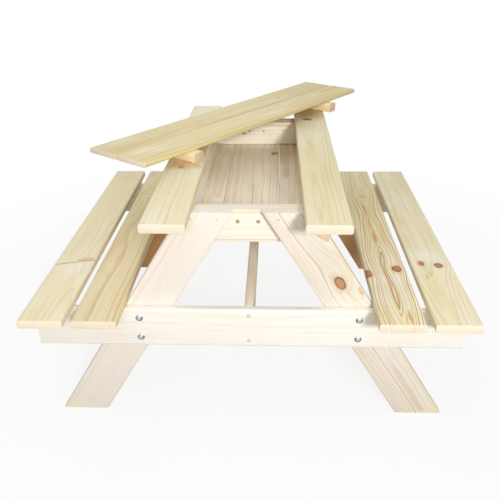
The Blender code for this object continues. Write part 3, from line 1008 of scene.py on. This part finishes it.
def way_in(node, board, out):
    """Where a fastener's solid goes into its board, and which way its head faces."""
    middle = sum(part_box(node), Vector()) / 2
    return Vector((middle.x, face_of(board, out), middle.z)), (0.0, out, 0.0)


def write_heads(mesh, spots, radius):
    """Keeps each corner's place on its own head, sideways and up, in head radii."""
    corners = corners_of(mesh)
    places = np.array([place for place, _, _ in spots])
    nearest = np.linalg.norm(corners[:, None] - places[None], axis=2).argmin(axis=1)
    apart = (corners - places[nearest]) / radius
    write_attribute(mesh, "head", np.stack([apart[:, 0], apart[:, 2], 0 * apart[:, 0]], axis=1))


class PICNIC_OT_bolts(bpy.types.Operator):
    """Make the carriage bolts through legs and crossbars, and plate their washers and nuts"""

    bl_idname = "picnic.bolts"
    bl_label = "Carriage bolts"

    def execute(self, context):
        hardware = context.scene.picnic_hardware
        nodes = solids("carriage_bolt_")
        spots = []
        for node in nodes:
            end = "near" if "_near_" in node else "far"
            place, facing = way_in(node, "crossbar_" + end, OUTWARD[end])
            spots.append((place, facing, 0.0))
            length = abs(face_of(node, -OUTWARD[end]) - place.y)
        tree, keys = bolt_tree()
        bolts = spread("carriage_bolts", tree, keys, spots, {
            "Head Radius": hardware.head_radius, "Head Height": hardware.head_height,
            "Shank Radius": hardware.bolt_radius, "Shank Length": length,
            "Thread Pitch": hardware.thread_pitch,
            "Material": zinc_material("zinc_heads", hardware.zinc, HEAD_ROUGH,
                                      hardware.painted_rim_reflection)},
            "table", nodes)
        write_heads(bolts.data, spots, hardware.head_radius)
        zinc = zinc_material("zinc_plate", hardware.zinc, PLATE_ROUGH)
        for node in solids("bolt_washer_") + solids("bolt_nut_"):
            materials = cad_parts[node].data.materials
            materials.clear()
            materials.append(zinc)
        return {"FINISHED"}


class PICNIC_OT_screws(bpy.types.Operator):
    """Make the countersunk screws of the stretcher, the box, the legs and the lid"""

    bl_idname = "picnic.screws"
    bl_label = "Screws"

    def execute(self, context):
        hardware = context.scene.picnic_hardware
        tree, keys = screw_tree()
        turns = np.random.default_rng(SCREW_SEED)
        # Painted shade: the box ends' and battens' screws get a dark colour that stands for the
        # shade in their holes
        dark = zinc_material("screw_plate", hardware.screw_zinc, SCREW_ROUGH)
        bright = zinc_material("screw_zinc", hardware.zinc, SCREW_ROUGH)

        def drive(name, spots, length, metal, nodes=(), body="table", size=1.0):
            radius = hardware.screw_radius * size
            spots = [(place, facing, turns.uniform(0.0, math.tau)) for place, facing in spots]
            spread(name, tree, keys, spots, {
                "Head Radius": radius, "Shank Radius": radius * SHANK_SHARE,
                "Shank Length": length, "Proud": hardware.screw_proud, "Material": metal},
                body, nodes)

        for kind, board, metal in (("stretcher_screw_", "crossbar_", bright),
                                   ("box_end_screw_", "box_end_", dark)):
            nodes = solids(kind)
            spots = [way_in(node, board + end, out) for end, out in OUTWARD.items()
                     for node in nodes if end in node]
            drive(kind + "heads", spots, hardware.frame_screw_length, metal, nodes)
        # Through the tops of the legs, and through the box ends into them
        spots = []
        for end, out in OUTWARD.items():
            for side, way in (("left", -1.0), ("right", 1.0)):
                leg = f"leg_{end}_{side}"
                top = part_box(leg)[1].z
                spots += [(Vector((way * x, face_of(leg, out), top - LEG_SCREWS_DOWN)),
                           (0.0, out, 0.0)) for x in LEG_SCREWS_OUT]
                inner = face_of("box_end_" + end, -out)
                spots.append((Vector((way * BOX_SCREW_OUT, inner, top - BOX_SCREW_DOWN)),
                              (0.0, -out, 0.0)))
        drive("leg_screws", spots, hardware.leg_screw_length, bright, size=LEG_SCREW_SHARE)
        # Up through the lid's battens into its boards
        spots = []
        turn = context.scene.picnic_pine.lid_turn
        for node in ("lid_batten_near", "lid_batten_far"):
            middle = board_size(node, turn)[1]
            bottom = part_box(node)[0].z
            for x in BATTEN_SCREWS_ALONG:
                place = middle + Matrix.Rotation(turn, 3, "Z") @ Vector((x, 0.0, 0.0))
                spots.append((Vector((place.x, place.y, bottom)), (0.0, 0.0, -1.0)))
        drive("batten_screws", spots, hardware.lid_screw_length, dark, body="lid")
        return {"FINISHED"}


# Studio

FLOOR_RADIUS, FLOOR_SIDES = 30.0, 96
# How far from the table's middle the floor starts and ends its change to plain white
WHITE_START, WHITE_FULL = 0.55, 1.5
SENSOR_WIDTH = 36.0
# Each lamp's place, what it points at, and the side of its square
LAMPS = {
    "key": ((1.40, -5.0, 2.42), (0.0, -0.1, 0.30), 0.7),
    "fill": ((0.1, -3.8, 1.9), (0.0, -0.1, 0.35), 0.8),
    "top": ((-0.3, -0.9, 3.4), (0.0, 0.0, 0.3), 3.2),
    "back": ((-0.8, 2.8, 2.0), (0.0, 0.0, 0.3), 2.0),
}


def seen_rays(n):
    """One for the camera's rays and for those that metal and glass send on from it."""
    camera = n.add("ShaderNodeLightPath", output="Is Camera Ray")
    return n.larger(camera, n.larger(n.also(camera, "Is Glossy Ray"),
                                     n.also(camera, "Is Transmission Ray")))


def make_floor(studio):
    """A plain pale floor that keeps the table's shadow."""
    bm = bmesh.new()
    bmesh.ops.create_circle(bm, cap_ends=True, segments=FLOOR_SIDES, radius=FLOOR_RADIUS)
    mesh = mesh_of(bm, "floor")
    floor = add_object("floor", mesh)
    material = bpy.data.materials.new("floor_paint")
    n = bare_nodes(material)
    white = n.add("ShaderNodeEmission", {"Color": (1.0, 1.0, 1.0), "Strength": 1.0})
    seen = seen_rays(n)
    place = n.add("ShaderNodeTexCoord", output="Object")
    away = n.add("ShaderNodeVectorMath", {0: place}, "Value", operation="LENGTH")
    paint = n.add("ShaderNodeBsdfDiffuse", {
        "Color": n.mix(seen, studio.floor_bounce, studio.floor)})
    glow = n.smooth(away, WHITE_START, WHITE_FULL, studio.floor_glow, 1.0)
    both = n.add("ShaderNodeMixShader", {0: seen * glow, 1: paint, 2: white})
    n.add("ShaderNodeOutputMaterial", {"Surface": both})
    mesh.materials.append(material)


def make_room(scene, studio):
    """Even light from all round, which the camera sees as plain white."""
    scene.world = bpy.data.worlds.new("room")
    n = bare_nodes(scene.world)
    strength = seen_rays(n) * (1.0 - studio.room_light) + studio.room_light
    back = n.add("ShaderNodeBackground", {"Color": (1.0, 1.0, 1.0), "Strength": strength})
    n.add("ShaderNodeOutputWorld", {"Surface": back})


def make_lamp(name, place, target, size, power):
    light = bpy.data.lights.new(name, "AREA")
    light.shape = "SQUARE"
    light.size = size
    light.energy = power
    lamp = add_object(name, light)
    lamp.location = place
    lamp.rotation_euler = (Vector(target) - Vector(place)).to_track_quat("-Z", "Y").to_euler()


def make_camera(scene, studio):
    data = bpy.data.cameras.new("camera")
    data.sensor_width = SENSOR_WIDTH
    data.lens = studio.focal_length
    camera = add_object("camera", data)
    camera.matrix_world = (Matrix.Translation(studio.camera_place)
                           @ Matrix.Rotation(-studio.pan, 4, "Z")
                           @ Matrix.Rotation(math.pi / 2 - studio.tilt, 4, "X")
                           @ Matrix.Rotation(studio.roll, 4, "Z"))
    scene.camera = camera


class PICNIC_OT_stage(bpy.types.Operator):
    """Make the floor, the lamps, the room's light and the camera"""

    bl_idname = "picnic.stage"
    bl_label = "Studio"

    def execute(self, context):
        studio = context.scene.picnic_studio
        make_floor(studio)
        make_room(context.scene, studio)
        for name, (place, target, size) in LAMPS.items():
            make_lamp(name + "_lamp", place, target, size, getattr(studio, name + "_power"))
        make_camera(context.scene, studio)
        context.scene.view_settings.view_transform = "Standard"
        return {"FINISHED"}


# The add-on

SETTINGS = {
    "picnic_pine": PineSettings,
    "picnic_hardware": HardwareSettings,
    "picnic_studio": StudioSettings,
}

STEPS = (PICNIC_OT_planks, PICNIC_OT_frames, PICNIC_OT_box, PICNIC_OT_floor, PICNIC_OT_lid,
         PICNIC_OT_bolts, PICNIC_OT_screws, PICNIC_OT_stage)


class PICNIC_PT_table(bpy.types.Panel):
    """Lists the table's pieces and its settings"""

    bl_idname = "PICNIC_PT_table"
    bl_label = "Picnic Table"
    bl_space_type = "VIEW_3D"
    bl_region_type = "UI"
    bl_category = "Picnic Table"

    def draw(self, context):
        for step in STEPS:
            self.layout.operator(step.bl_idname)
        for name in SETTINGS:
            group = getattr(context.scene, name)
            box = self.layout.box()
            for key in group.__annotations__:
                box.prop(group, key)


CLASSES = (*SETTINGS.values(), *STEPS, PICNIC_PT_table)


def register():
    for item in CLASSES:
        bpy.utils.register_class(item)
    for name, group in SETTINGS.items():
        setattr(bpy.types.Scene, name, bpy.props.PointerProperty(type=group))


def unregister():
    for name in SETTINGS:
        delattr(bpy.types.Scene, name)
    for item in reversed(CLASSES):
        bpy.utils.unregister_class(item)


def main():
    register()
    bpy.ops.picnic.planks()
    bpy.ops.picnic.frames()
    bpy.ops.picnic.box()
    bpy.ops.picnic.floor()
    bpy.ops.picnic.lid()
    bpy.ops.picnic.bolts()
    bpy.ops.picnic.screws()
    bpy.ops.picnic.stage()


if __name__ == "__main__":
    main()
